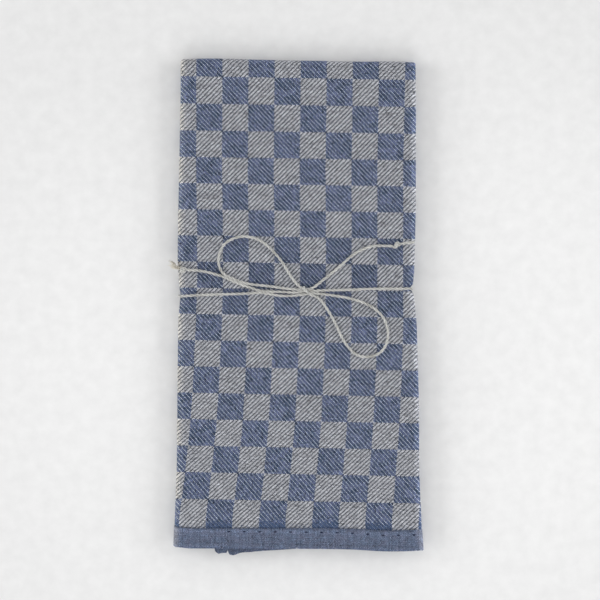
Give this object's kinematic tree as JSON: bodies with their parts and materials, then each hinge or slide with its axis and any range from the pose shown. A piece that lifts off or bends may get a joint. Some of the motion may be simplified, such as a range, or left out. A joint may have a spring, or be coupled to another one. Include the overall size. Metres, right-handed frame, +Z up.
{
  "type": "folded tea towel",
  "caption": "Hemmed tea towel in a woven check of blue and ecru, folded flat and tied across its middle with twine in a bow.",
  "frame": {"origin": "middle of the folded towel's underside", "axes": "+Y along the folded towel from its hems to its turned end, +Z up out of the face that carries the bow"},
  "size_m": [0.1767, 0.3459, 0.0153],
  "materials": {
    "cloth": "matt woven linen and cotton, checkerboard twill",
    "twine": "matt undyed two-ply linen twine"
  },
  "bodies": {
    "root": {"towel": "cloth", "string_band": "twine", "bow_knot": "twine", "bow_loop_left": "twine", "bow_loop_right": "twine", "tail_left": "twine", "tail_right": "twine", "end_knot_left": "twine", "end_knot_right": "twine", "tail_end_left": "twine", "tail_end_right": "twine"}
  },
  "joints": []
}
